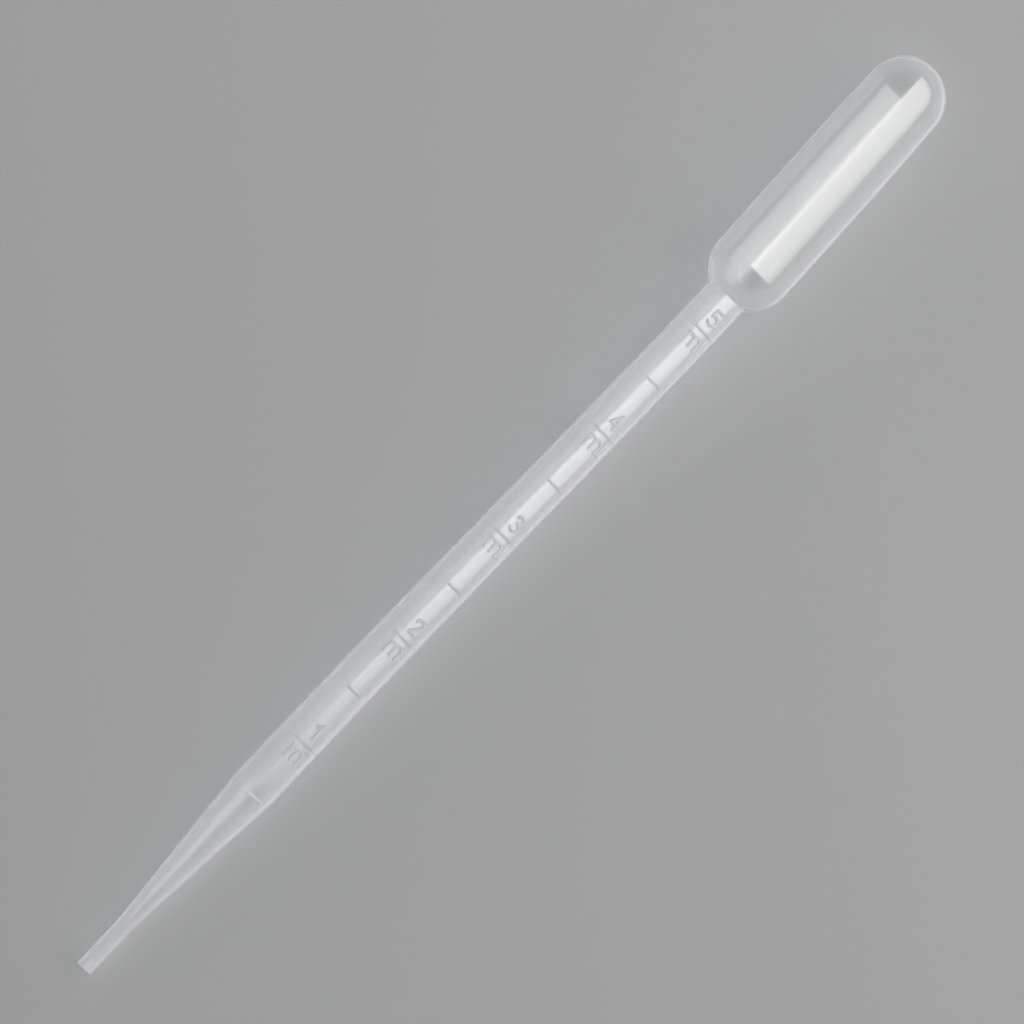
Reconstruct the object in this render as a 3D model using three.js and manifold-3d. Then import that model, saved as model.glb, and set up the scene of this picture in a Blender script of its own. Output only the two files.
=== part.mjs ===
// Plastic dropper pipette: one blow-moulded polyethylene body with a drawn-out tip,
// a graduated tube and a squeeze bulb. It is hollow from the tip to the top of the bulb,
// and it lies on its shoulder and its bulb, as it does on a bench.
//
// Millimetres, +Z up. The body is modelled upright first, along +Y from the cut end of the
// tip, with its marks facing +Z, and is laid down in the last step.

import * as THREE from 'three';
import { mergeVertices } from 'three/addons/utils/BufferGeometryUtils.js';
import Module from 'manifold-3d';

const wasm = await Module();
wasm.setup();

// ---------------------------------------------------------------- driving dimensions

const tipLength = 11.0; // the parallel end of the tip
const tipBore = 1.8;
const tipWall = 0.7;

const coneLength = 32.4; // end of the tip to the shoulder
const coneBend = 30; // radius of the soft bend at either end of the cone

const tubeLength = 121.1; // shoulder to neck
const tubeBore = 7.09; // even all the way up, so that the marks are evenly spaced
const shoulderWall = 0.76; // the parison is drawn thinner on its way to the bulb
const neckWall = 0.55;
const boreShoulderRise = 2.4; // the bore reaches its full width this far above the shoulder

const neckFillet = 0.8;
const bulbLength = 55.5; // neck to the top of the dome
const bulbDiameter = 15.8; // at its belly
const bellyHeight = 26.2; // neck to the belly, the widest ring
const rootNarrowing = 0.1; // how much less than the belly the bulb's round bottom measures
const domeNarrowing = 0.44; // and its dome
const bulbWall = 0.55;

const markVolume = 500; // cubic millimetres between one mark and the next
const marksPerNumber = 2; // every second mark carries a number, and is longer
const shortMarkSweep = 50; // degrees around the tube
const longMarkSweep = 78;
const markWidth = 0.4;
const markHeight = 0.2;
const markChamfer = 0.1;
const markRoot = 0.2; // how far a mark's foot sinks into the wall
const numberRoom = 5; // the last mark leaves this much below the neck for its number
const facingAngle = 21; // degrees that the marks face away from straight up

const seamWidth = 0.3; // the line where the two halves of the mould meet
const seamHeight = 0.12;

const restFlat = 0.06; // how much the soft plastic gives way where it lies on the bench

const facets = 60; // flat sides of every round section

// ---------------------------------------------------------------- radii and levels

const tipRadius = tipBore / 2 + tipWall;
const shoulderRadius = tubeBore / 2 + shoulderWall;
const neckRadius = tubeBore / 2 + neckWall;
const bellyRadius = bulbDiameter / 2;
const rootRadius = (bulbDiameter - rootNarrowing) / 2;
const domeRadius = (bulbDiameter - domeNarrowing) / 2;

// Levels are counted along the body from the cut end of the tip.
const shoulderLevel = tipLength + coneLength;
const boreShoulderLevel = shoulderLevel + boreShoulderRise;
const neckLevel = shoulderLevel + tubeLength;
const rootLevel = neckLevel + Math.sqrt(rootRadius ** 2 - neckRadius ** 2);
const bellyLevel = neckLevel + bellyHeight;
const topLevel = neckLevel + bulbLength;
const domeLevel = topLevel - domeRadius;

const roll = THREE.MathUtils.degToRad(facingAngle);

// ---------------------------------------------------------------- profile helpers

const point = (radius, level) => new THREE.Vector2(radius, level);

// Points along an arc, both ends included.
function arc(centre, radius, from, to, steps) {
  return Array.from({ length: steps + 1 }, (_, i) => {
    const angle = THREE.MathUtils.lerp(from, to, i / steps);
    return point(centre.x + radius * Math.cos(angle), centre.y + radius * Math.sin(angle));
  });
}

// The corner at b, between a and c, rounded by an arc that is tangent to both sides.
function bend(a, b, c, radius, steps = 3) {
  const back = a.clone().sub(b).normalize();
  const on = c.clone().sub(b).normalize();
  const halfAngle = Math.acos(back.dot(on)) / 2;
  const bisector = back.clone().add(on).normalize();
  const centre = b.clone().addScaledVector(bisector, radius / Math.sin(halfAngle));
  const reach = radius / Math.tan(halfAngle);
  const start = b.clone().addScaledVector(back, reach).sub(centre);
  const end = b.clone().addScaledVector(on, reach).sub(centre);
  const sweep = Math.atan2(start.cross(end), start.dot(end));
  return arc(centre, radius, start.angle(), start.angle() + sweep, steps);
}

// From the neck over the bulb to the axis, where the tube has the radius given. The
// bulb's surface is moved outwards by grow, or inwards where that is negative.
function bulbProfile(tubeRadius, grow) {
  const fillet = neckFillet - grow;
  const filletX = tubeRadius + fillet;
  const filletY = rootLevel - Math.sqrt((rootRadius + grow + fillet) ** 2 - filletX ** 2);
  const meeting = Math.atan2(rootLevel - filletY, -filletX);

  // The barrel narrows from its belly by the square of the distance.
  const side = (endLevel, endRadius, share) =>
    point(
      grow + THREE.MathUtils.lerp(bellyRadius, endRadius, share ** 2),
      THREE.MathUtils.lerp(bellyLevel, endLevel, share),
    );

  return [
    ...arc(point(filletX, filletY), fillet, Math.PI, meeting, 4).slice(0, -1),
    ...arc(point(0, rootLevel), rootRadius + grow, meeting - Math.PI, 0, 8),
    side(rootLevel, rootRadius, 1 / 2),
    side(domeLevel, domeRadius, 0),
    side(domeLevel, domeRadius, 1 / 3),
    side(domeLevel, domeRadius, 2 / 3),
    ...arc(point(0, domeLevel), domeRadius + grow, 0, Math.PI / 2, 9).slice(0, -1),
    point(0, topLevel + grow),
  ];
}

// The outside of the body, from the axis at the cut end to the axis at the top.
function outerProfile(grow = 0) {
  const tipEnd = point(tipRadius + grow, 0);
  const coneStart = point(tipRadius + grow, tipLength);
  const coneEnd = point(shoulderRadius + grow, shoulderLevel);
  const neck = point(neckRadius + grow, neckLevel);
  return [
    point(0, 0),
    tipEnd,
    ...bend(tipEnd, coneStart, coneEnd, coneBend),
    ...bend(coneStart, coneEnd, neck, coneBend),
    ...bulbProfile(neck.x, grow),
  ];
}

// The hollow inside, which runs out through the cut end by overrun.
function cavityProfile(overrun) {
  const mouth = point(tipBore / 2, -overrun);
  const coneStart = point(tipBore / 2, tipLength);
  const coneEnd = point(tubeBore / 2, boreShoulderLevel);
  const neck = point(tubeBore / 2, neckLevel);
  return [
    point(0, -overrun),
    mouth,
    ...bend(mouth, coneStart, coneEnd, coneBend),
    ...bend(coneStart, coneEnd, neck, coneBend),
    ...bulbProfile(neck.x, -bulbWall),
  ];
}

function radiusAt(profile, level) {
  const i = profile.findIndex((p, n) => n > 1 && p.y >= level);
  const share = (level - profile[i - 1].y) / (profile[i].y - profile[i - 1].y);
  return THREE.MathUtils.lerp(profile[i - 1].x, profile[i].x, share);
}

// ---------------------------------------------------------------- graduations

// What the body holds below a level, summed over the slices of its cavity.
function volumeBelow(cavity, level) {
  let volume = 0;
  for (let i = 2; i < cavity.length; i++) {
    const from = Math.max(cavity[i - 1].y, 0);
    const to = Math.min(cavity[i].y, level);
    if (to <= from) continue;
    const r1 = radiusAt(cavity, from);
    const r2 = radiusAt(cavity, to);
    volume += (Math.PI / 3) * (to - from) * (r1 * r1 + r1 * r2 + r2 * r2);
  }
  return volume;
}

// The level that a volume of liquid reaches, found by halving.
function levelOf(cavity, volume) {
  let low = 0;
  let high = neckLevel;
  while (high - low > 1e-6) {
    const middle = (low + high) / 2;
    if (volumeBelow(cavity, middle) < volume) low = middle;
    else high = middle;
  }
  return high;
}

// ---------------------------------------------------------------- solids

function toSolid(geometry) {
  const bare = geometry.clone().deleteAttribute('normal').deleteAttribute('uv');
  const merged = mergeVertices(bare, 1e-5);
  return new wasm.Manifold(new wasm.Mesh({
    numProp: 3,
    vertProperties: new Float32Array(merged.attributes.position.array),
    triVerts: new Uint32Array(merged.index.array),
  }));
}

function toGeometry(solid) {
  const { vertProperties, triVerts } = solid.getMesh();
  const geometry = new THREE.BufferGeometry();
  geometry.setAttribute('position', new THREE.BufferAttribute(vertProperties, 3));
  geometry.setIndex(new THREE.BufferAttribute(triVerts, 1));
  geometry.computeVertexNormals();
  return geometry;
}

const revolve = (profile) => toSolid(new THREE.LatheGeometry(profile, facets));

// The mould's parting line: a thin plate in the outline of the body, a little larger all
// round, of which only the rim is left once the cavity is cut.
function seamPlate() {
  const right = outerProfile(seamHeight);
  const left = right.slice(1, -1).reverse().map((p) => point(-p.x, p.y));
  const plate = new THREE.ExtrudeGeometry(new THREE.Shape([...right, ...left]), {
    depth: seamWidth,
    bevelEnabled: false,
  });
  return toSolid(plate.translate(0, 0, -seamWidth / 2));
}

// One graduation: a raised rib around part of the tube, with chamfered edges.
function mark(bodyRadius, level, sweep) {
  const half = THREE.MathUtils.degToRad(sweep) / 2;
  const facing = -Math.PI / 2; // turns to +Z when the rib is stood up
  const sector = new THREE.Shape()
    .absarc(0, 0, bodyRadius + markHeight - markChamfer, facing - half, facing + half, false)
    .absarc(0, 0, bodyRadius - markRoot, facing + half, facing - half, true)
    .closePath();
  const rib = new THREE.ExtrudeGeometry(sector, {
    depth: markWidth - 2 * markChamfer,
    bevelThickness: markChamfer,
    bevelSize: markChamfer,
    bevelSegments: 1,
    curveSegments: 5,
  });
  rib.translate(0, 0, markChamfer - markWidth / 2);
  return toSolid(rib.rotateX(-Math.PI / 2).translate(0, level, 0));
}

function graduations(outer, cavity) {
  const room = volumeBelow(cavity, neckLevel - numberRoom);
  const count = Math.floor(room / markVolume);
  return Array.from({ length: count }, (_, i) => {
    const level = levelOf(cavity, (i + 1) * markVolume);
    const sweep = (i + 1) % marksPerNumber ? shortMarkSweep : longMarkSweep;
    return mark(radiusAt(outer, level), level, sweep);
  });
}

// The slope of the straight edge that touches the outline on both sides of mid-length, and
// its distance from the axis there. The body lies on the two points where it touches.
function restingEdge(outline) {
  const middle = topLevel / 2;
  const low = outline.filter((p) => p.y < middle);
  const high = outline.filter((p) => p.y > middle);
  let best = { reach: -Infinity, slope: 0 };
  for (const a of low) {
    for (const b of high) {
      const slope = (b.x - a.x) / (b.y - a.y);
      const reach = a.x + slope * (middle - a.y);
      if (reach > best.reach) best = { reach, slope };
    }
  }
  return best;
}

// What the bench takes off the underside: everything past the resting edge, which is
// moved in by restFlat. It leaves two small flats, so that the round body can't roll.
function benchBlock({ reach, slope }) {
  const face = (level) => reach - restFlat + slope * (level - topLevel / 2);
  const clear = bulbDiameter;
  const side = new THREE.Shape()
    .moveTo(face(-clear), -clear)
    .lineTo(clear, -clear)
    .lineTo(clear, topLevel + clear)
    .lineTo(face(topLevel + clear), topLevel + clear)
    .closePath();
  const block = new THREE.ExtrudeGeometry(side, { depth: bulbDiameter, bevelEnabled: false });
  block.translate(0, 0, -bulbDiameter / 2);
  return toSolid(block.rotateY(Math.PI / 2 - roll));
}

function pipetteBody() {
  const outer = outerProfile();
  const cavity = cavityProfile(1);
  let solid = revolve(outer).add(seamPlate());
  for (const rib of graduations(outer, cavity)) solid = solid.add(rib);
  return solid.subtract(revolve(cavity)).subtract(benchBlock(restingEdge(outer)));
}

// ---------------------------------------------------------------- the part, laid down

const polyethylene = new THREE.MeshStandardMaterial({
  color: 0xdfe3e8,
  roughness: 0.3,
  metalness: 0,
  transparent: true,
  opacity: 0.6,
});

const pipette = new THREE.Mesh(toGeometry(pipetteBody()), polyethylene);
pipette.name = 'pipette';
pipette.rotation.y = roll;

// The tip points to -X and the bulb to +X, and the axis rises towards the fatter bulb.
const resting = new THREE.Group();
resting.rotation.set(0, -Math.atan(restingEdge(outerProfile()).slope), -Math.PI / 2);
resting.add(pipette);

// The origin is on the bench, under the middle of the body.
const box = new THREE.Box3().setFromObject(resting, true);
const centre = box.getCenter(new THREE.Vector3());
resting.position.set(-centre.x, -centre.y, -box.min.z);

const group = new THREE.Group();
group.add(resting);

export default group;
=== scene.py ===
# %% [markdown]
# # A plastic dropper pipette
#
# A transfer pipette is one shell of soft polyethylene, blown like a bottle from a hot tube:
# a thin drawn-out tip, a straight tube with raised marks, and a bulb to squeeze. The plastic
# is milky and see-through at once. Much of its look comes from real geometry: two smooth
# walls with air between them, which bend the light and mirror a large soft lamp.
#
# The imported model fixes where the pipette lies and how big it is. This script models the
# same shell again with a much finer surface, adds the raised numbers, and lights it.

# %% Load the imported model
import math

import bmesh
import bpy
import numpy as np
from mathutils import Matrix, Vector


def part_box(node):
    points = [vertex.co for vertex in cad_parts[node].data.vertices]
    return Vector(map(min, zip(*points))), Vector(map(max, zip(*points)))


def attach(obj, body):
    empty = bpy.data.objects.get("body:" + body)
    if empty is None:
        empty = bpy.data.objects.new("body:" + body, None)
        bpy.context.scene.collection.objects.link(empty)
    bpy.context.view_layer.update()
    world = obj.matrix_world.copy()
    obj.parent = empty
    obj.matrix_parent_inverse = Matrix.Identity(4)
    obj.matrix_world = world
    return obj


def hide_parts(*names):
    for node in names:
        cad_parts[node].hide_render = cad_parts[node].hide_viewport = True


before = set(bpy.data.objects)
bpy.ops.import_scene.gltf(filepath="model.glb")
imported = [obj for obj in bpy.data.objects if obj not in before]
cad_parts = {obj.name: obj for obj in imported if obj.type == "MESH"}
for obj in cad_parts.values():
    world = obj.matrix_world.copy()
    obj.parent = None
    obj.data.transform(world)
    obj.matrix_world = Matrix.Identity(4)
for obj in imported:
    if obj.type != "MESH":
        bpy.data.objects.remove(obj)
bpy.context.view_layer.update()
body_low, body_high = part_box("pipette")

# %% [markdown]
# ## The section of the body
#
# The real part is round everywhere, so half a section says almost everything: one line for
# the outside and one for the inside. They could be drawn as curves and spun by a modifier.
# A list of points made by a few small helpers keeps every size a number with a name, and
# gives each row of points a level that the marks and the material can use later.
#
# Levels are counted along the axis from the end of the tip. All lengths are in millimetres
# until the mesh is made.

# %% Sizes of the body
MM = 0.001

TIP_LENGTH = 11.0
TIP_BORE = 1.8
TIP_WALL = 0.7
CONE_LENGTH = 32.4
CONE_BEND = 30.0  # radius of the bends at both ends of the cone
TUBE_LENGTH = 121.1
TUBE_BORE = 7.09
SHOULDER_WALL = 0.76  # where the cone meets the tube
NECK_WALL = 0.55  # where the tube meets the bulb
BORE_SHOULDER_RISE = 2.4  # how much higher the bore bends than the outside does
NECK_FILLET = 0.8
BULB_LENGTH = 55.5
BULB_DIAMETER = 15.8  # at the belly, its widest ring
BELLY_HEIGHT = 26.2  # from the neck
ROOT_NARROWING = 0.1  # how much less the diameter is where the round bottom ends
DOME_NARROWING = 0.44  # how much less it is where the dome starts
BULB_WALL = 0.55

tip_radius = TIP_BORE / 2 + TIP_WALL
shoulder_radius = TUBE_BORE / 2 + SHOULDER_WALL
neck_radius = TUBE_BORE / 2 + NECK_WALL
belly_radius = BULB_DIAMETER / 2
root_radius = belly_radius - ROOT_NARROWING / 2
dome_radius = belly_radius - DOME_NARROWING / 2

shoulder_level = TIP_LENGTH + CONE_LENGTH
bore_shoulder_level = shoulder_level + BORE_SHOULDER_RISE
neck_level = shoulder_level + TUBE_LENGTH
root_level = neck_level + math.sqrt(root_radius**2 - neck_radius**2)
belly_level = neck_level + BELLY_HEIGHT
top_level = neck_level + BULB_LENGTH
dome_level = top_level - dome_radius
print("body length, mm:", round(top_level, 2))


# %% Helpers that draw a profile as (radius, level) points
def arc(centre, radius, start, end, steps):
    """Points along an arc, both ends included."""
    turn = np.linspace(start, end, steps + 1)
    return np.stack([centre[0] + radius * np.cos(turn), centre[1] + radius * np.sin(turn)], 1)


def line(a, b, steps):
    """Points along a straight line, both ends included."""
    share = np.linspace(0, 1, steps + 1)[:, None]
    return (1 - share) * np.array(a) + share * np.array(b)


def bend(a, b, c, radius, steps):
    """The corner at b, between a and c, rounded by an arc."""
    a, b, c = map(np.array, (a, b, c))
    back = (a - b) / np.linalg.norm(a - b)
    on = (c - b) / np.linalg.norm(c - b)
    half = math.acos(back @ on) / 2
    middle = (back + on) / np.linalg.norm(back + on)
    centre = b + middle * radius / math.sin(half)
    start = b + back * radius / math.tan(half) - centre
    end = b + on * radius / math.tan(half) - centre
    begin = math.atan2(start[1], start[0])
    sweep = math.atan2(start[0] * end[1] - start[1] * end[0], start @ end)
    return arc(centre, radius, begin, begin + sweep, steps)


# %% [markdown]
# Smooth shading spreads a corner's shading over the faces on both sides of it. On a long
# face that shows as a wide false gradient. One more row of points close to the corner keeps
# it local, as an extra edge loop does in hand modelling.

# %% Helpers that join profiles and guard their corners
TINY = 1e-6  # mm, too small to see
HEM = 0.1  # from a corner to its extra row
LONG_SIDE = 1.0
CORNER = math.radians(1.0)


def joined(*pieces):
    """One list of points from several, with the doubled ends taken out."""
    points = np.vstack(pieces)
    step = np.linalg.norm(np.diff(points, axis=0), axis=1)
    return points[np.r_[True, step > TINY]]


def hemmed(points):
    """The points, with one more close to each corner on its long sides."""
    side = np.diff(points, axis=0)
    length = np.linalg.norm(side, axis=1)
    heading = np.unwrap(np.arctan2(side[:, 1], side[:, 0]))
    corner = np.r_[True, np.abs(np.diff(heading)) > CORNER, True]
    made = [points[0]]
    for i, (start, end) in enumerate(zip(points[:-1], points[1:])):
        step = side[i] / length[i] * HEM
        if length[i] > LONG_SIDE and corner[i]:
            made.append(start + step)
        if length[i] > LONG_SIDE and corner[i + 1]:
            made.append(end - step)
        made.append(end)
    return np.array(made)


# %% [markdown]
# The bulb is a round bottom, a barrel that is widest a little nearer the neck than its
# middle, and a dome. The inside follows the outside at one wall's distance, so both come
# from one function. It is told how far to move the surface and how fine to make it.

# %% The bulb, outside or inside
NECK_ROWS = 3
BOTTOM_ROWS = 7
BARREL_ROWS = 4
DOME_ROWS = 9


def barrel(end_level, end_radius, grow, steps):
    """From the belly to one end, narrowing by the square of the distance."""
    share = np.linspace(0, 1, steps + 1)
    radius = belly_radius + (end_radius - belly_radius) * share**2
    return np.stack([radius + grow, belly_level + (end_level - belly_level) * share], 1)


def bulb(tube_radius, grow, fineness):
    """From the tube's end to the top of the dome, moved out by grow."""
    fillet = NECK_FILLET - grow
    x = tube_radius + fillet
    y = root_level - math.sqrt((root_radius + grow + fillet) ** 2 - x**2)
    meeting = math.atan2(root_level - y, -x)
    return joined(
        arc((x, y), fillet, math.pi, meeting, NECK_ROWS * fineness),
        arc((0, root_level), root_radius + grow, meeting - math.pi, 0, BOTTOM_ROWS * fineness),
        barrel(root_level, root_radius, grow, BARREL_ROWS * fineness)[::-1],
        barrel(dome_level, dome_radius, grow, BARREL_ROWS * fineness),
        arc((0, dome_level), dome_radius + grow, 0, math.pi / 2, DOME_ROWS * fineness),
    )


# %% [markdown]
# ## Where the graduations go
#
# Each mark stands where another half millilitre would reach, so their places follow from
# the bore. A list of measured places would be shorter, but it would be wrong as soon as the
# bore or the cone changed. The volume below a level is a sum of thin round slices of the
# cavity, and the mark's level is read back from that running sum.

# %% The inside profile
TIP_BORE_ROWS = 4
CONE_BORE_ROWS = 12
TUBE_BORE_ROWS = 30
BEND_BORE_ROWS = 4
BULB_FINENESS = {"outside": 3, "inside": 2}

bore_end = (TIP_BORE / 2, 0)
bore_cone = (TIP_BORE / 2, TIP_LENGTH)
bore_shoulder = (TUBE_BORE / 2, bore_shoulder_level)
bore_neck = (TUBE_BORE / 2, neck_level)
inside = hemmed(joined(
    line(bore_end, bore_cone, TIP_BORE_ROWS)[:-1],
    bend(bore_end, bore_cone, bore_shoulder, CONE_BEND, BEND_BORE_ROWS),
    line(bore_cone, bore_shoulder, CONE_BORE_ROWS)[1:-1],
    bend(bore_cone, bore_shoulder, bore_neck, CONE_BEND, BEND_BORE_ROWS),
    line(bore_shoulder, bore_neck, TUBE_BORE_ROWS)[1:-1],
    bulb(TUBE_BORE / 2, -BULB_WALL, BULB_FINENESS["inside"]),
))
print("rows inside:", len(inside))

# %% The levels of the marks
MARK_VOLUME = 500.0  # cubic millimetres
MARKS_PER_NUMBER = 2
NUMBER_ROOM = 5.0  # the last mark stays at least this far from the neck
SLICES = 4000

fine_levels = np.linspace(0, neck_level, SLICES)
fine_radii = np.interp(fine_levels, inside[:, 1], inside[:, 0])
slices = math.pi * fine_radii**2 * (fine_levels[1] - fine_levels[0])
filled = np.cumsum(slices) - slices / 2
room = np.interp(neck_level - NUMBER_ROOM, fine_levels, filled)
volumes = MARK_VOLUME * np.arange(1, int(room / MARK_VOLUME) + 1)
marks = np.interp(volumes, filled, fine_levels)
numbered = marks[MARKS_PER_NUMBER - 1 :: MARKS_PER_NUMBER]
print("marks, mm from the tip:", np.round(marks, 1))

# %% [markdown]
# ## The raised numbers
#
# The mould has the figures cut into it, so on the part they stand out as round-topped
# strokes. Text objects wrapped on a tube would need booleans and would give sharp flat
# letters. Here each figure is a few lines and arcs, and the surface rises wherever it is
# closer to one of them than half a stroke. That gives the soft moulded look.

# %% Strokes of the figures, one unit tall, and of the letters, in millimetres
RING_STEPS = 14


def stroke(*points):
    """A line through the given points."""
    return np.array(points, float)


def ring(centre, radius, start, end):
    """Part of a circle, between two angles in degrees."""
    return arc(centre, radius, math.radians(start), math.radians(end), RING_STEPS)


FIGURES = {
    "1": [stroke((-0.22, 0.74), (0.06, 1.0), (0.06, 0.0))],
    "2": [
        np.vstack([ring((0, 0.74), 0.26, 165, -38), stroke((-0.26, 0.0), (0.28, 0.0))]),
    ],
    "3": [ring((-0.02, 0.77), 0.23, 150, -90), ring((-0.02, 0.27), 0.27, 90, -150)],
    "4": [stroke((0.1, 0.0), (0.1, 1.0), (-0.28, 0.3), (0.28, 0.3))],
    "5": [
        np.vstack([stroke((0.24, 1.0), (-0.18, 1.0)), ring((-0.02, 0.31), 0.3, 130, -145)]),
    ],
}
M_HEIGHT = 2.2
M_SIDE = 1.3  # from the middle of the m to its outer stems
L_HEIGHT = 3.1
L_OFFSET = 2.4
arch = M_SIDE / 2
LETTERS = [
    stroke((-M_SIDE, 0), (-M_SIDE, M_HEIGHT)),
    np.vstack([ring((-arch, M_HEIGHT - arch), arch, 180, 0), stroke((0, 0))]),
    np.vstack([ring((arch, M_HEIGHT - arch), arch, 180, 0), stroke((M_SIDE, 0))]),
    stroke((L_OFFSET, 0), (L_OFFSET, L_HEIGHT)),
]
print("figures:", ", ".join(FIGURES), "and", len(LETTERS), "strokes for ml")

# %% A whole label beside a mark
FIGURE_SIZE = 2.95
FIGURE_ABOVE_MARK = 1.65
FIGURE_SHIFT = -0.2
LETTERS_BELOW_MARK = 3.7
LETTERS_SHIFT = -0.55


def label_strokes(number, mark):
    """All strokes beside one numbered mark, as (sideways, level) points."""
    figure = [
        points * FIGURE_SIZE + (FIGURE_SHIFT, mark + FIGURE_ABOVE_MARK)
        for points in FIGURES[str(number)]
    ]
    letters = [points + (LETTERS_SHIFT, mark - LETTERS_BELOW_MARK) for points in LETTERS]
    return figure + letters


# %% [markdown]
# ## Rows and columns
#
# The mesh is a net of rows along the section and columns around it. An even net fine enough
# for the figures would need over a million triangles, so rows are close together only
# beside the marks and figures, and columns only across the band that carries the figures
# and along the two parting lines.

# %% Angles of the columns, in degrees from the middle of the figures
FINE_STEP = 0.095
FIGURE_BAND = 31.0  # the fine columns reach this far to both sides
SEAM_AT = 90.0
NEAR_SEAM = np.array([-4.6, -2.6, -1.6, -0.8, 0.0, 0.8, 1.6, 2.6, 4.6])
BESIDE_FIGURES = 9
UNDERNEATH = 24


def plain_columns(start, end, count):
    """Columns spaced evenly between two others, without those two."""
    return np.linspace(start, end, count + 2)[1:-1]


figure_band = np.arange(-FIGURE_BAND, FIGURE_BAND, math.degrees(FINE_STEP / neck_radius))
first_seam = SEAM_AT + NEAR_SEAM
second_seam = 360 - SEAM_AT + NEAR_SEAM
columns = np.concatenate([
    figure_band,
    plain_columns(figure_band[-1], first_seam[0], BESIDE_FIGURES),
    first_seam,
    plain_columns(first_seam[-1], second_seam[0], UNDERNEATH),
    second_seam,
    plain_columns(second_seam[-1], 360 + figure_band[0], BESIDE_FIGURES),
])
around = np.radians(columns)
print("columns:", len(columns))

# %% Levels of the rows on the tube and the cone
FIGURE_REACH = (-4.1, 5.0)  # from a numbered mark to the ends of its label
MARK_REACH = 0.45
PLAIN_STEP = 1.6


def rows_between(start, end):
    """Levels from start to end, close together near the marks and figures."""
    zones = [(mark - MARK_REACH, mark + MARK_REACH) for mark in marks]
    zones += [(mark + FIGURE_REACH[0], mark + FIGURE_REACH[1]) for mark in numbered]
    levels = [start]
    while levels[-1] < end:
        here = levels[-1]
        in_zone = any(low <= here < high for low, high in zones)
        next_zone = min((low for low, high in zones if low > here), default=end)
        plain_level = min(here + PLAIN_STEP, next_zone + TINY)
        levels.append(here + FINE_STEP if in_zone else plain_level)
    return np.array(levels[1:-1])


def straight(a, b):
    """Rows on the straight outside line from a to b."""
    levels = rows_between(a[1], b[1])
    share = (levels - a[1]) / (b[1] - a[1])
    return np.stack([a[0] + (b[0] - a[0]) * share, levels], 1)


# %% The outside profile, and the rounded rim of the tip
RIM = 0.08
RIM_ROWS = 3
LOW_BEND_ROWS = 6
HIGH_BEND_ROWS = 12

tip_end = (tip_radius, 0.0)
cone_start = (tip_radius, TIP_LENGTH)
cone_end = (shoulder_radius, shoulder_level)
tube_end = (neck_radius, neck_level)
low_bend = bend(tip_end, cone_start, cone_end, CONE_BEND, LOW_BEND_ROWS)
high_bend = bend(cone_start, cone_end, tube_end, CONE_BEND, HIGH_BEND_ROWS)
bulb_outside = bulb(neck_radius, 0, BULB_FINENESS["outside"])
outside = hemmed(joined(
    arc((tip_radius - RIM, RIM), RIM, -math.pi / 2, 0, RIM_ROWS),
    straight((tip_radius, RIM), low_bend[0]),
    low_bend,
    straight(low_bend[-1], high_bend[0]),
    high_bend,
    straight(high_bend[-1], bulb_outside[0]),
    bulb_outside,
))
bore_rim = arc((TIP_BORE / 2 + RIM, RIM), RIM, math.pi, math.pi * 1.5, RIM_ROWS)[::-1]
print("rows outside:", len(outside))

# %% [markdown]
# ## What stands out from the surface
#
# Three things rise from the plain round shape: the marks, the figures and the two parting
# lines where the mould's halves met. A boolean join for each would leave hard edges. Here
# each is a height over the unrolled surface, with a soft step at its edge, which catches
# the light as moulded plastic does.
#
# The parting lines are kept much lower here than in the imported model. One of them runs
# close to the outline that the camera sees, and at full height it would break up the bright
# line there.

# %% Sizes of the relief
STROKE = 0.34
STROKE_HEIGHT = 0.2
STROKE_SOFTNESS = 0.14
MARK_WIDTH = 0.4
MARK_EDGE = MARK_WIDTH / 3  # from its middle line to where it has half its height
MARK_HEIGHT = 0.2
MARK_SOFTNESS = 0.1
SHORT_SWEEP = 50.0  # degrees around the body
LONG_SWEEP = 78.0
SEAM_WIDTH = 0.3
SEAM_EDGE = SEAM_WIDTH / 3
SEAM_SOFTNESS = SEAM_WIDTH / 4
SEAM_HEIGHT = 0.04


def soft_step(distance, edge, softness):
    """1 inside the edge, 0 outside, and smooth between."""
    t = np.clip((edge + softness - distance) / (2 * softness), 0, 1)
    return t * t * (3 - 2 * t)


def distance_to(lines, across, along):
    """The distance from each point of a net to the nearest stroke."""
    nearest = np.full(across.shape, np.inf)
    for points in lines:
        for a, b in zip(points[:-1], points[1:]):
            side = b - a
            px, py = across - a[0], along - a[1]
            share = np.clip((px * side[0] + py * side[1]) / (side @ side), 0, 1)
            nearest = np.minimum(nearest, np.hypot(px - share * side[0], py - share * side[1]))
    return nearest


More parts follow.
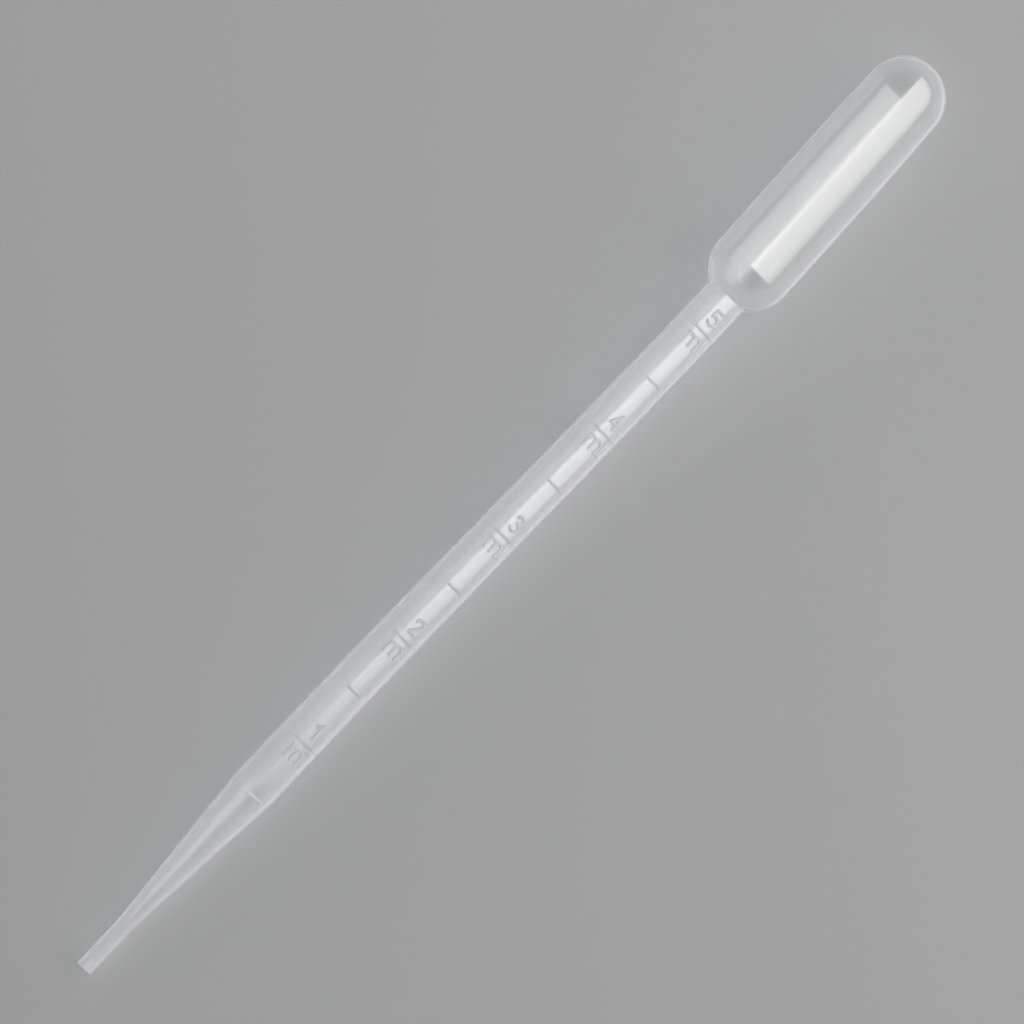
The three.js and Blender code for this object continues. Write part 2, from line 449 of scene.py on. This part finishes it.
# %% Heights of the relief over the net
def relief(radius, level):
    """How far the outside stands out at each row and column."""
    turn = (around + math.pi) % (2 * math.pi) - math.pi
    turn = np.broadcast_to(turn, (len(radius), len(turn)))
    level = np.broadcast_to(level[:, None], turn.shape)
    across = turn * radius[:, None]
    height = np.zeros(turn.shape)

    for number, mark in enumerate(marks, 1):
        sweep = SHORT_SWEEP if number % MARKS_PER_NUMBER else LONG_SWEEP
        beyond = (np.abs(turn) - math.radians(sweep / 2)) * radius[:, None]
        away = np.hypot(level - mark, np.maximum(beyond + MARK_WIDTH / 2, 0))
        raised = MARK_HEIGHT * soft_step(away, MARK_EDGE, MARK_SOFTNESS)
        height = np.maximum(height, raised)

    for number, mark in enumerate(numbered, 1):
        low, high = mark + FIGURE_REACH[0], mark + FIGURE_REACH[1]
        rows = (level[:, 0] > low) & (level[:, 0] < high)
        lines = label_strokes(number, mark)
        away = distance_to(lines, across[rows], level[rows])
        raised = STROKE_HEIGHT * soft_step(away, STROKE / 2, STROKE_SOFTNESS)
        height[rows] = np.maximum(height[rows], raised)

    from_seam = np.abs(np.abs(turn) - math.radians(SEAM_AT)) * radius[:, None]
    seam = SEAM_HEIGHT * soft_step(from_seam, SEAM_EDGE, SEAM_SOFTNESS)
    return np.maximum(height, seam)


# %% [markdown]
# ## Uneven walls
#
# A blown wall is never even. The outside copies the mould, while nothing but air shaped the
# inside, so it ripples more and drifts off centre. A noise in a bump could imitate that, but
# it would leave the mesh itself perfectly even. A few slow waves with seeded phases move the
# real points instead, and they are the same on every run.
#
# Finer waves run nearly along the body. They are deepest low on the tube, as if the hot
# plastic had been drawn out most there.

# %% Slow waves and fine streaks over the unrolled surface
rng = np.random.default_rng(7)
FULL_TURN = 2 * math.pi
WAVE_LENGTHS, WAVE_TURNS = (14, 60), (0, 4)
STREAK_LENGTHS, STREAK_TURNS = (30, 90), (7, 17)


def seeded_waves(count, lengths, turns):
    """Waves with a length, a whole number of turns around, and a phase, drawn in that order."""
    return [
        (rng.uniform(*lengths), rng.integers(*turns), rng.uniform(0, FULL_TURN))
        for _ in range(count)
    ]


def added_up(waves, level):
    """The sum of the waves for every row and column."""
    total = np.zeros((len(level), len(around)))
    for length, turns, phase in waves:
        total += np.sin(FULL_TURN * level[:, None] / length + turns * around[None, :] + phase)
    return total


WAVES = seeded_waves(9, WAVE_LENGTHS, WAVE_TURNS)
STREAKS = seeded_waves(7, STREAK_LENGTHS, STREAK_TURNS)
print("wave lengths, mm:", [round(length) for length, _, _ in WAVES + STREAKS])

# %% How deep they are
STREAK_DEPTH = 0.012
PLAIN_STREAK_DEPTH = 0.003
STREAKED = {"level": 66.0, "reach": 15.0}


def ripple(level, depth):
    """Gentle unevenness, in millimetres, for every row and column."""
    return depth * added_up(WAVES, level) / math.sqrt(len(WAVES))


def most_drawn(level):
    """1 where the streaks are deepest, and falling softly to 0 on both sides."""
    return np.exp(-(((level - STREAKED["level"]) / STREAKED["reach"]) ** 2))


def streaks(level):
    """Fine lengthwise unevenness, in millimetres, for every row and column."""
    depth = PLAIN_STREAK_DEPTH + (STREAK_DEPTH - PLAIN_STREAK_DEPTH) * most_drawn(level)
    return depth[:, None] * added_up(STREAKS, level) / math.sqrt(len(STREAKS))


# %% Nets of surface points in the body's own frame: along, across and up
LEVELS = [0, TIP_LENGTH, shoulder_level, neck_level, root_level]  # up the body
OFF_CENTRE_AT = [0, 0, 0.1, 0.1, 0.3]  # the cavity's place aside, at those levels
OUTSIDE_RIPPLE = 0.012
INSIDE_RIPPLE = 0.04
INSIDE_START = 7.0  # puts the two walls' waves out of step
SEAM_END_RADIUS = 0.8  # the parting lines stop where all columns crowd together
FACING = math.radians(21.0)  # the figures look this far aside from straight up


def outward(profile):
    """Unit normals of a profile, pointing away from the axis side."""
    along = np.gradient(profile, axis=0)
    normal = np.stack([along[:, 1], -along[:, 0]], 1)
    return normal / np.linalg.norm(normal, axis=1)[:, None]


def surface(profile, height):
    """The net of a profile moved out by height, as an array of rows, columns and x, y, z."""
    normal = outward(profile)
    radius = profile[:, 0, None] + normal[:, 0, None] * height
    level = profile[:, 1, None] + normal[:, 1, None] * height
    facing = around[None, :] + FACING
    return np.stack([level, -radius * np.sin(facing), radius * np.cos(facing)], 2)


# The narrow tip stays calm: both kinds of unevenness fade out towards it.
calm_outside = np.clip(outside[:, 0] / neck_radius, 0, 1)[:, None] ** 2
calm_inside = np.clip((inside[:, 0] - TIP_BORE / 2) / neck_radius, 0, 1)[:, None]
out_height = relief(outside[:, 0], outside[:, 1]) * (outside[:, 0, None] > SEAM_END_RADIUS)
out_height += ripple(outside[:, 1], OUTSIDE_RIPPLE) * calm_outside
in_height = ripple(inside[:, 1] + INSIDE_START, INSIDE_RIPPLE) + streaks(inside[:, 1])
in_height *= calm_inside
out_net = surface(outside, out_height)
in_net = surface(inside, in_height)
in_net[:, :, 1] += np.interp(inside[:, 1], LEVELS, OFF_CENTRE_AT)[:, None]
rim_net = surface(bore_rim, np.zeros((len(bore_rim), len(around))))
print("outside moved, mm:", round(out_height.min(), 3), "to", round(out_height.max(), 3))
print("inside moved, mm:", round(in_height.min(), 3), "to", round(in_height.max(), 3))

# %% [markdown]
# ## What the material needs to know
#
# The material can't measure the shell, so each point of the mesh carries some values. They
# could be painted by hand or kept in a texture. Point attributes are simpler, and they
# follow the shape when a size changes.
#
# - `body_radius` and `body_wall` let the material work out how much plastic light crosses.
#   The inside is given no wall, because the outside already counts it.
# - `steepness` is 1 on the steep sides of the marks and figures, which throw light aside, and it
#   places painted shade there.
# - `stretched` is 1 on the bulb, which is glossier than the tube.
# - `surface_haze` adds a little milk, or takes some away, along the body.
# - `drawn` is 1 where the streaks are deepest and the gloss is patchy.

# %% Values at the levels of the body
RADIUS_AT = [tip_radius, tip_radius, shoulder_radius, neck_radius, belly_radius]
WALL_AT = [TIP_WALL, TIP_WALL, SHOULDER_WALL, NECK_WALL, BULB_WALL]
STRETCHED_AT = [0, 0, 0, 0, 1]
SURFACE_HAZE_AT = [0.06, 0.05, 0, 0.07, -0.02]
STEEP = 1.2  # the slope that counts as fully steep
LEAST_STEP = 0.02  # in level between two rows, so that nothing is divided by zero
LEAST_RADIUS = 0.5

step_up = np.maximum(np.gradient(outside[:, 1]), LEAST_STEP)[:, None]
step_around = np.gradient(around)[None, :] * np.maximum(outside[:, 0], LEAST_RADIUS)[:, None]
rise_along = np.gradient(out_height, axis=0) / step_up
rise_around = np.gradient(out_height, axis=1) / step_around
steepness = np.clip(np.hypot(rise_along, rise_around) / STEEP, 0, 1)


# %% The same values for every point
def spread(row_values):
    """One value for each row, repeated for every column."""
    return np.repeat(row_values[:, None], len(around), axis=1)


def along_body(profile, values):
    """Values given at LEVELS, and straight between them, for a profile's net."""
    return spread(np.interp(profile[:, 1], LEVELS, values))


def from_the_top(outer, rim, inner):
    """Three nets as one: down the outside, round the rim and up the inside."""
    return np.concatenate([outer[:-1][::-1], rim[1:-1][::-1], inner[1:-1]])


def on_each_point(outer, rim, inner):
    """Values of the three nets in the order of the mesh's points, with the two poles last."""
    return np.r_[from_the_top(outer, rim, inner).ravel(), outer[-1, 0], inner[-1, 0]]


def on_both_walls(values):
    """Values along the body that the inside has as well as the outside."""
    return on_each_point(along_body(outside, values), no_rim, along_body(inside, values))


no_rim = spread(np.zeros(len(bore_rim)))
no_inside = spread(np.zeros(len(inside)))
POINT_VALUES = {
    "body_radius": on_each_point(
        along_body(outside, RADIUS_AT), no_rim + tip_radius, along_body(inside, RADIUS_AT)
    ),
    "body_wall": on_each_point(along_body(outside, WALL_AT), no_rim, no_inside),
    "steepness": on_each_point(steepness, no_rim, no_inside),
    "stretched": on_both_walls(STRETCHED_AT),
    "surface_haze": on_both_walls(SURFACE_HAZE_AT),
    "drawn": on_each_point(
        spread(most_drawn(outside[:, 1])), no_rim, spread(most_drawn(inside[:, 1]))
    ),
}
for name, values in POINT_VALUES.items():
    print(name, "from", round(values.min(), 2), "to", round(values.max(), 2))

# %% [markdown]
# ## Laying it down
#
# A round body with a fat end lies on two places: the shoulder, where the cone meets the
# tube, and the belly of the bulb. The straight edge that touches both from below gives the
# slope of the axis. A physics simulation would find it too, but a line over two points is
# exact. The soft plastic gives way a few hundredths of a millimetre there, which the packed
# model has as two flats, so the points that would dip under the floor are set on it.

# %% The slope of the axis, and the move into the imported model's place
REST_FLAT = 0.06


def resting_slope(profile):
    """The slope of the line over the widest places of both halves."""
    middle = top_level / 2
    low = profile[profile[:, 1] < middle]
    high = profile[profile[:, 1] > middle]
    slope = (high[None, :, 0] - low[:, None, 0]) / (high[None, :, 1] - low[:, None, 1])
    reach = low[:, None, 0] + slope * (middle - low[:, None, 1])
    return slope.flat[reach.argmax()]


tilt = math.atan(resting_slope(outside))


def laid_down(net):
    """The net turned to the resting slope, still with the tip's centre at the origin."""
    x, y, z = net[..., 0], net[..., 1], net[..., 2]
    return np.stack(
        [x * math.cos(tilt) - z * math.sin(tilt), y, x * math.sin(tilt) + z * math.cos(tilt)], -1
    )


plain = laid_down(surface(outside, np.zeros_like(out_height)))
low_corner = plain.reshape(-1, 3).min(0)
shift = np.array([
    body_low.x / MM - low_corner[0],
    (body_low.y + body_high.y) / 2 / MM,
    body_low.z / MM - low_corner[2] - REST_FLAT,
])
print("axis slope, degrees:", round(math.degrees(tilt), 2), "tip centre, mm:", np.round(shift, 2))

# %% [markdown]
# The long thin body also has a slight sideways bow, as such parts have when they cool
# unevenly. A curve modifier could bend it, but would need a guide object. Here it leans one
# way from the lower tube on, and back again near the bulb. Each lean starts softly at its
# level.

# %% The bow, and every point in its place
LEANS = [
    {"level": 75.0, "slope": 0.0154, "softness": 10.0},
    {"level": 158.0, "slope": -0.0426, "softness": 13.0},
]


def bowed(net):
    """The net moved sideways by both leans."""
    bent = net.copy()
    for lean in LEANS:
        beyond = net[..., 0] - lean["level"]
        bent[..., 1] -= lean["slope"] * (beyond + np.hypot(beyond, lean["softness"])) / 2
    return bent


def placed(net):
    """The net bowed, laid down and moved into its place, in metres."""
    moved = laid_down(bowed(net)) + shift
    moved[..., 2] = np.maximum(moved[..., 2], 0)
    return moved * MM


net = placed(from_the_top(out_net, rim_net, in_net))
poles = placed(np.stack([out_net[-1, 0], in_net[-1, 0]]))
vertices = np.vstack([net.reshape(-1, 3), poles])
print("points:", len(vertices))

# %% [markdown]
# ## One closed mesh
#
# The real part has no joints, so it is one mesh whose outside and inside meet at the rim of
# the tip. A solidify modifier could thicken a single surface, but its wall would be even and
# the relief would show on the inside too. Neighbours in the net make four-sided faces, and
# a fan of triangles closes each end of the net, at the top of the bulb.

# %% The faces
rows, count = net.shape[:2]
row, column = np.meshgrid(np.arange(rows - 1), np.arange(count), indexing="ij")
beside = (column + 1) % count
here, below = row * count, (row + 1) * count
quads = np.stack([here + column, below + column, below + beside, here + beside], -1).reshape(-1, 4)

outer_pole = rows * count
inner_pole = outer_pole + 1
last_row = (rows - 1) * count
outer_fan = [(outer_pole, i, (i + 1) % count) for i in range(count)]
inner_fan = [(inner_pole, last_row + (i + 1) % count, last_row + i) for i in range(count)]
print("four-sided faces:", len(quads), "and in each fan:", count)

# %% The mesh, and the values that its points carry
mesh = bpy.data.meshes.new("pipette_shell")
mesh.from_pydata(vertices.tolist(), [], quads.tolist() + outer_fan + inner_fan)
mesh.shade_smooth()
for name, values in POINT_VALUES.items():
    layer = mesh.attributes.new(name, "FLOAT", "POINT")
    layer.data.foreach_set("value", values.astype(np.float32))
shell = bpy.data.objects.new("pipette_shell", mesh)
bpy.context.scene.collection.objects.link(shell)

measured = bmesh.new()
measured.from_mesh(mesh)
print("triangles:", 2 * len(quads) + len(outer_fan) + len(inner_fan))
print("closed:", all(edge.is_manifold for edge in measured.edges))
print("volume, mm3:", round(measured.calc_volume(signed=True) / MM**3, 1))
measured.free()

# %% [markdown]
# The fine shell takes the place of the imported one, which stays hidden for collision. It
# rides on the only body there is, because nothing on the pipette moves by itself.

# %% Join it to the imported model
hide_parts("pipette")
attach(shell, "root")


# %% [markdown]
# ## Shader maths
#
# Node trees are easier to read as sums than as boxes. Field wraps one number socket and
# turns + - and * into Math nodes. Shader makes every other node.

# %% A socket that can be used in sums
class Field:
    """A number socket of a node tree, usable in Python sums."""

    def __init__(self, shader, socket):
        self.shader, self.socket = shader, socket

    def __add__(self, other):
        return self.shader.maths("ADD", self, other)

    def __sub__(self, other):
        return self.shader.maths("SUBTRACT", self, other)

    def __rsub__(self, other):
        return self.shader.maths("SUBTRACT", other, self)

    def __mul__(self, other):
        return self.shader.maths("MULTIPLY", self, other)

    __radd__ = __add__
    __rmul__ = __mul__


# %% A maker of nodes
class Shader:
    """The node tree of one material or world."""

    def __init__(self, owner):
        owner.use_nodes = True
        self.tree = owner.node_tree
        self.tree.nodes.clear()

    def feed(self, place, value):
        """Links a field or a socket to an input, or sets the input's own value."""
        if isinstance(value, Field):
            value = value.socket
        if isinstance(value, bpy.types.NodeSocket):
            self.tree.links.new(value, place)
        else:
            place.default_value = value

    def node(self, kind, settings=None, **sockets):
        """A node of a kind, with its settings and then its sockets filled in."""
        made = self.tree.nodes.new(kind)
        for name, value in (settings or {}).items():
            setattr(made, name, value)
        for name, value in sockets.items():
            self.feed(made.inputs[name.replace("_", " ")], value)
        return made

    def field(self, kind, output, settings=None, **sockets):
        """One output of a new node, usable in sums."""
        return Field(self, self.node(kind, settings, **sockets).outputs[output])

    def maths(self, operation, *values):
        """A Math node, whose sockets all have the same name and are filled in order."""
        node = self.node("ShaderNodeMath", {"operation": operation})
        for place, value in zip(node.inputs, values):
            self.feed(place, value)
        return Field(self, node.outputs[0])

    def carried(self, name):
        """A value that each point of the mesh carries."""
        return self.field("ShaderNodeAttribute", "Fac", {"attribute_name": name})

    def blend(self, share, first, second):
        """A colour between two colours."""
        mixer = self.node("ShaderNodeMix", {"data_type": "RGBA"})
        for name, value in (("Factor_Float", share), ("A_Color", first), ("B_Color", second)):
            self.feed(next(place for place in mixer.inputs if place.identifier == name), value)
        return next(place for place in mixer.outputs if place.identifier == "Result_Color")

    def mix(self, share, first, second):
        """A Mix Shader of two shader sockets; share is how much of the second shows."""
        mixer = self.node("ShaderNodeMixShader", {}, Fac=share)
        self.feed(mixer.inputs[1], first)
        self.feed(mixer.inputs[2], second)
        return mixer.outputs[0]


# %% [markdown]
# ## The plastic
#
# Low-density polyethylene is clear but crowded with tiny crystals. Light that crosses
# little of it goes nearly straight through, and where it crosses a lot the plastic looks
# milky. A scattering volume in the wall is the obvious way, but it needs volume bounces,
# which are off by default, and without them it comes out dark. So two plain surfaces are
# mixed: a clear one, and a milky one whose share grows with the plastic that is crossed.
#
# The clear one refracts and has a coat for the shine on top. Its roughness and a very weak
# bump follow a soft noise, stretched along the body as the plastic flowed. The bulb is
# glossier than the tube. Where the streaks are deepest, long thin lines of a second noise
# take the coat away, so that the bright band fades there.

# %% Soft patterns that run along the body
FLOW_SCALE = (60.0, 420.0, 420.0)  # patches about 17 mm long and 2.4 mm wide
LINE_SCALE = (12.0, 1300.0, 1300.0)  # lines about 80 mm long and 0.8 mm wide


def pattern(shader, scale):
    """Soft noise in the object's own frame, with its own scale in each direction."""
    where = shader.node("ShaderNodeTexCoord").outputs["Object"]
    placing = shader.node("ShaderNodeMapping", {}, Vector=where, Scale=scale)
    place = placing.outputs["Vector"]
    return shader.field("ShaderNodeTexNoise", "Fac", {}, Vector=place, Scale=1.0, Detail=1.0)


# %% The clear part
CLEAR = (0.965, 0.965, 0.96, 1.0)
# painted shade: the grey that the clear plastic gets on the steep sides of the relief
STEEP_PAINTED_SHADE = (0.5, 0.5, 0.5, 1.0)
TUBE_ROUGHNESS = 0.2
BULB_ROUGHNESS = 0.05
FLOW_ROUGHNESS = 0.04
SHINY_BELOW = 0.38  # the noise value under which a line keeps its whole coat
DULL_ABOVE = 0.5
DULLED = 0.95  # the share of the coat that a dull line loses


def clear_plastic(shader):
    """Clear plastic that refracts, under a smooth coat."""
    flow = pattern(shader, FLOW_SCALE)
    lines = pattern(shader, LINE_SCALE)
    dull = shader.field(
        "ShaderNodeMapRange", "Result", {}, Value=lines, From_Min=SHINY_BELOW, From_Max=DULL_ABOVE
    )
    glossier = shader.carried("stretched") * (BULB_ROUGHNESS - TUBE_ROUGHNESS)
    bump = shader.node("ShaderNodeBump", {}, Height=flow, Strength=0.02, Distance=0.0002)
    return shader.node(
        "ShaderNodeBsdfPrincipled",
        {},
        # the steep sides of the relief get painted shade, a grey clear colour
        Base_Color=shader.blend(shader.carried("steepness"), CLEAR, STEEP_PAINTED_SHADE),
        Roughness=flow * FLOW_ROUGHNESS + TUBE_ROUGHNESS + glossier,
        IOR=1.51,
        Coat_Weight=1 - dull * shader.carried("drawn") * DULLED,
        Coat_Roughness=0.13,
        Coat_IOR=1.6,
        Transmission_Weight=1.0,
        Normal=bump.outputs["Normal"],
    ).outputs[0]


# %% [markdown]
# The milk is bright from whichever side the light comes, so it is two shaders in one: a
# diffuse one for the side that is lit, and a translucent one for light from behind.
#
# How much plastic is crossed follows from the angle at which a straight line enters,
# because the body is round. The line runs along a chord of the outside circle, less the
# part inside the bore. Half of that counts where it enters, and the other half where it
# leaves. In the middle of the tube each half is one wall. Near the edge it is several times
# as much, which gives the milky edges. This is exact for a line square to the body, and an
# estimate for one that slants along it.

# %% The milky part, and its share
MILK = (0.90, 0.92, 0.97, 1.0)
FROM_BEHIND = 0.6  # the share of the milk that is lit through the wall
HAZE_PER_MM = 0.36
MOST_MILK = 0.9


def milk(shader):
    """White plastic that is lit from both sides."""
    lit = shader.node("ShaderNodeBsdfDiffuse", {}, Color=MILK).outputs[0]
    glow = shader.node("ShaderNodeBsdfTranslucent", {}, Color=MILK).outputs[0]
    return shader.mix(FROM_BEHIND, lit, glow)


def plastic_crossed(shader):
    """Millimetres of plastic on the nearer half of a straight line through the body."""
    radius, wall = shader.carried("body_radius"), shader.carried("body_wall")
    facing = shader.field("ShaderNodeLayerWeight", "Facing", {}, Blend=0.5)
    cosine = 1 - facing
    bore = radius - wall
    cavity = bore * bore - radius * radius * (1 - cosine * cosine)
    return radius * cosine - shader.maths("SQRT", shader.maths("MAXIMUM", cavity, 0.0))


def milky_share(shader):
    """How much of the milk shows, from none to nearly all."""
    haze = plastic_crossed(shader) * HAZE_PER_MM + shader.carried("surface_haze")
    return shader.maths("MAXIMUM", shader.maths("MINIMUM", haze, MOST_MILK), 0.0)


# %% [markdown]
# A shadow ray can't bend, so refracting walls would block it and cast a solid dark shadow.
# Here shadow rays go straight through, a little dimmed at each surface. The steep sides of the
# marks and figures throw light aside, so they hold back most of a shadow ray. The clear plastic is
# also given a grey colour there, which is painted shade: it stands in for the light that those
# sides turn away, and it makes the small figures stand out more.

# %% What a shadow ray meets
PASSED = (0.93, 0.935, 0.94, 1.0)
THROWN_ASIDE = (0.35, 0.36, 0.37, 1.0)


def passing_light(shader):
    """Transparent, and darker on the steep sides."""
    through = shader.node("ShaderNodeBsdfTransparent", {}, Color=PASSED).outputs[0]
    dimmed = shader.node("ShaderNodeBsdfTransparent", {}, Color=THROWN_ASIDE).outputs[0]
    return shader.mix(shader.carried("steepness"), through, dimmed)


# %% The whole plastic
def polyethylene():
    """Clear plastic and milk, mixed by the plastic crossed."""
    material = bpy.data.materials.new("milky_polyethylene")
    shader = Shader(material)
    body = shader.mix(milky_share(shader), clear_plastic(shader), milk(shader))
    shadow = shader.node("ShaderNodeLightPath").outputs["Is Shadow Ray"]
    shown = shader.mix(shadow, body, passing_light(shader))
    shader.node("ShaderNodeOutputMaterial", {}, Surface=shown)
    print("nodes in the plastic:", len(material.node_tree.nodes))
    return material


shell.data.materials.append(polyethylene())

# %% [markdown]
# ## The floor
#
# A see-through thing shows what lies behind it, so the table stays plain: one matt pale grey
# face, wide enough to fill every view. It lies a hair under the pipette, so that the two
# don't share a plane.

# %% A pale table
FLOOR_COLOUR = (0.4, 0.405, 0.415, 1.0)
FLOOR_HALF = 6.0  # metres
FLOOR_GAP = 0.0001
SQUARE = [(-1, -1), (1, -1), (1, 1), (-1, 1)]


def pale_floor():
    """One matt face under the pipette."""
    corners = [(x * FLOOR_HALF, y * FLOOR_HALF, -FLOOR_GAP) for x, y in SQUARE]
    flat = bpy.data.meshes.new("floor")
    flat.from_pydata(corners, [], [(0, 1, 2, 3)])
    floor = bpy.data.objects.new("floor", flat)
    bpy.context.scene.collection.objects.link(floor)
    material = bpy.data.materials.new("pale_table")
    shader = Shader(material)
    matt = shader.node(
        "ShaderNodeBsdfPrincipled", {}, Base_Color=FLOOR_COLOUR, Roughness=0.8, IOR=1.3
    )
    shader.node("ShaderNodeOutputMaterial", {}, Surface=matt.outputs[0])
    flat.materials.append(material)


pale_floor()
print("floor, m across:", 2 * FLOOR_HALF)

# %% [markdown]
# ## Light
#
# Glossy plastic shows its lamps, so their shape matters as much as their strength. One
# large softbox leaves the long bright bands on the tube and the bulb. It hangs to one side
# of the pipette, with its near edge almost straight above. Mirrored in the round top, that
# edge is the straight side of the bands along the middle.
#
# Milky edges need light from the side. An upright panel on the other side gives it. Mirrored
# and refracted rays don't see the panel, so it lights the milk and the table and adds no
# second band. The surround is bright at the horizon and nearly dark overhead, so it shows
# at the outline and leaves the top to the softbox. An environment texture of a studio could
# replace all three, but plain lamps have names and can be moved one by one.

# %% The surround
HORIZON = 0.6
OVERHEAD = 0.03
SKY = (0.95, 0.97, 1.0, 1.0)


def surround():
    """A world that gets darker from the horizon up."""
    world = bpy.data.worlds.new("studio")
    bpy.context.scene.world = world
    shader = Shader(world)
    toward = shader.node("ShaderNodeTexCoord").outputs["Generated"]
    height = shader.field("ShaderNodeSeparateXYZ", "Z", {}, Vector=toward)
    down = 1 - shader.maths("MAXIMUM", height, 0.0)
    strength = down * down * down * (HORIZON - OVERHEAD) + OVERHEAD
    sky = shader.node("ShaderNodeBackground", {}, Color=SKY, Strength=strength)
    shader.node("ShaderNodeOutputWorld", {}, Surface=sky.outputs[0])


surround()
print("surround:", HORIZON, "at the horizon,", OVERHEAD, "overhead")

# %% The softbox and the side panel
LAMP_COLOUR = (1.0, 0.985, 0.96)
SPREAD = math.radians(160.0)
KEY = {"height": 1.6, "low": (-0.11, -3.3), "high": (4.6, 0.11), "level": 2.45}
FILL = {"height": 0.6, "low": (-1.5, 1.7), "high": (1.5, 2.7), "level": 2.2}
FILL_LEAN = math.radians(-80)  # turns it from facing down to facing the pipette


def softbox(name, height, low, high, level):
    """A rectangle of light that faces down, from corner low to corner high, in metres."""
    lamp = bpy.data.lights.new(name, "AREA")
    lamp.shape = "RECTANGLE"
    lamp.size, lamp.size_y = high[0] - low[0], high[1] - low[1]
    lamp.energy = level * math.pi * lamp.size * lamp.size_y  # the same brightness at any size
    lamp.spread = SPREAD
    lamp.color = LAMP_COLOUR
    holder = bpy.data.objects.new(name, lamp)
    bpy.context.scene.collection.objects.link(holder)
    holder.location = ((low[0] + high[0]) / 2, (low[1] + high[1]) / 2, height)
    holder.visible_camera = False
    print(name, "m:", round(lamp.size, 2), "x", round(lamp.size_y, 2), "power:", round(lamp.energy))
    return holder


softbox("key_softbox", **KEY)
side_fill = softbox("side_fill", **FILL)
side_fill.rotation_euler.x = FILL_LEAN
side_fill.visible_glossy = False
side_fill.visible_transmission = False

# %% [markdown]
# ## The camera
#
# A long lens from above keeps the tube's sides nearly parallel. The camera stands over the
# lower tube and looks at the middle of the body, so the bulb is a little further away than
# the tip. A Track To constraint could aim it, but the view is also turned, so its three
# directions are worked out from the body's own axis. They follow if the slope changes.

# %% The camera, turned so that the body runs from lower left to upper right
BODY_ANGLE = math.radians(46.62)
LENS = 145.97
SENSOR = 36.0
EYE_LEVEL = 62.0  # the level that the camera stands over
EYE_DISTANCE = 735.0
AIM_LEVEL = 110.19  # the level in the middle of the view
AIM_ASIDE = 0.38

body_axis = Vector((math.cos(tilt), 0, math.sin(tilt)))
body_up = Vector((-math.sin(tilt), 0, math.cos(tilt)))
aim = (Vector(shift) + body_axis * AIM_LEVEL + Vector((0, AIM_ASIDE, 0))) * MM
eye = aim + (body_axis * (EYE_LEVEL - AIM_LEVEL) + body_up * EYE_DISTANCE) * MM

back = (eye - aim).normalized()
along = (body_axis - back * body_axis.dot(back)).normalized()
aside = back.cross(along)
right = along * math.cos(BODY_ANGLE) - aside * math.sin(BODY_ANGLE)
above = along * math.sin(BODY_ANGLE) + aside * math.cos(BODY_ANGLE)

camera = bpy.data.cameras.new("camera")
camera.lens = LENS
camera.sensor_width = SENSOR
camera.clip_start = 0.01
viewer = bpy.data.objects.new("camera", camera)
bpy.context.scene.collection.objects.link(viewer)
viewer.matrix_world = Matrix.Translation(eye) @ Matrix((right, above, back)).transposed().to_4x4()
bpy.context.scene.camera = viewer
print("camera, mm from its aim:", round((eye - aim).length / MM))

bpy.context.scene.view_settings.view_transform = "Standard"
